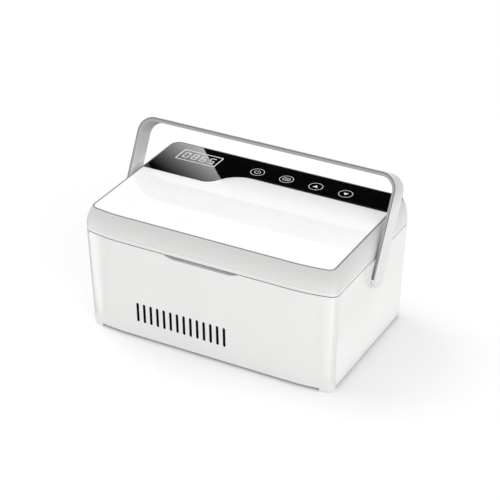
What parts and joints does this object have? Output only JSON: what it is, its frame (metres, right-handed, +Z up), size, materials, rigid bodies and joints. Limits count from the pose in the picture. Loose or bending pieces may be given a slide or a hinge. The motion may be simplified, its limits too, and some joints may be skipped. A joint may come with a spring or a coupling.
{
  "type": "insulin cooling case",
  "caption": "Tapered table-top cooling case with a hinged insulated lid, a black display and key panel, front air slots and a swinging bail handle.",
  "frame": {"origin": "on the table under the middle of the case, with the feet at z = 0", "axes": "+X along the case's width to the right as seen from the front, +Y to the rear where the lid's hinge is, +Z up"},
  "size_m": [0.271, 0.1694, 0.1726],
  "materials": {
    "shell_white": "satin",
    "lid_grey": "satin",
    "top_white": "gloss",
    "panel_black": "gloss",
    "handle_grey": "satin",
    "liner_grey": "satin",
    "foam": "matte",
    "seal_rubber": "matte",
    "aluminium": "satin",
    "steel": "satin",
    "ceramic": "matte",
    "black_plastic": "satin",
    "board_green": "satin",
    "cell_sleeve": "satin"
  },
  "bodies": {
    "case": {"body_shell": "shell_white", "base_cover": "shell_white", "chamber_liner": "liner_grey", "insulation_jacket": "foam", "cold_plate": "aluminium", "heat_sink": "aluminium", "fan_frame": "black_plastic", "battery_tray": "black_plastic", "dc_socket": "black_plastic", "peltier_module": "ceramic", "main_board": "board_green", "temperature_probe": "steel", "catch_plate": "steel", "hinge_pin": "steel", "handle_pin_left": "steel", "handle_pin_right": "steel", "battery_cell_1": "cell_sleeve", "battery_cell_2": "cell_sleeve", "battery_cell_3": "cell_sleeve", "battery_cell_4": "cell_sleeve", "base_screw_1": "steel", "base_screw_2": "steel", "base_screw_3": "steel", "base_screw_4": "steel", "fan_screw_1": "steel", "fan_screw_2": "steel", "fan_screw_3": "steel", "fan_screw_4": "steel", "clamp_screw_1": "steel", "clamp_screw_2": "steel"},
    "lid": {"lid_frame": "lid_grey", "top_panel": "top_white", "control_panel": "panel_black", "lid_liner": "liner_grey", "lid_insulation": "foam", "lid_gasket": "seal_rubber", "control_board": "board_green", "display_module": "black_plastic", "catch_magnet": "steel", "power_tact_switch": "black_plastic", "mode_tact_switch": "black_plastic", "up_tact_switch": "black_plastic", "down_tact_switch": "black_plastic", "lid_screw_1": "steel", "lid_screw_2": "steel", "lid_screw_3": "steel", "lid_screw_4": "steel"},
    "handle": {"handle": "handle_grey"},
    "fan": {"fan_rotor": "black_plastic"},
    "power_button": {"power_key": "panel_black"},
    "mode_button": {"mode_key": "panel_black"},
    "up_button": {"up_key": "panel_black"},
    "down_button": {"down_key": "panel_black"}
  },
  "joints": [
    {"name": "lid_hinge", "type": "hinge", "parent": "case", "child": "lid", "pos_m": [0, 0.0807, 0.1026], "axis": [-1, 0, 0], "range_deg": [0, 36]},
    {"name": "handle_swing", "type": "hinge", "parent": "case", "child": "handle", "pos_m": [0, 0, 0.085], "axis": [-1, 0, 0], "range_deg": [-131, 74]},
    {"name": "fan_spin", "type": "hinge", "parent": "case", "child": "fan", "pos_m": [-0.0266, 0, 0.0134], "axis": [0, 0, 1], "continuous": true},
    {"name": "power_press", "type": "slide", "parent": "lid", "child": "power_button", "axis": [0, 0, -1], "range_m": [0, 0.0005], "stiffness_N_per_m": 2000},
    {"name": "mode_press", "type": "slide", "parent": "lid", "child": "mode_button", "axis": [0, 0, -1], "range_m": [0, 0.0005], "stiffness_N_per_m": 2000},
    {"name": "up_press", "type": "slide", "parent": "lid", "child": "up_button", "axis": [0, 0, -1], "range_m": [0, 0.0005], "stiffness_N_per_m": 2000},
    {"name": "down_press", "type": "slide", "parent": "lid", "child": "down_button", "axis": [0, 0, -1], "range_m": [0, 0.0005], "stiffness_N_per_m": 2000}
  ]
}
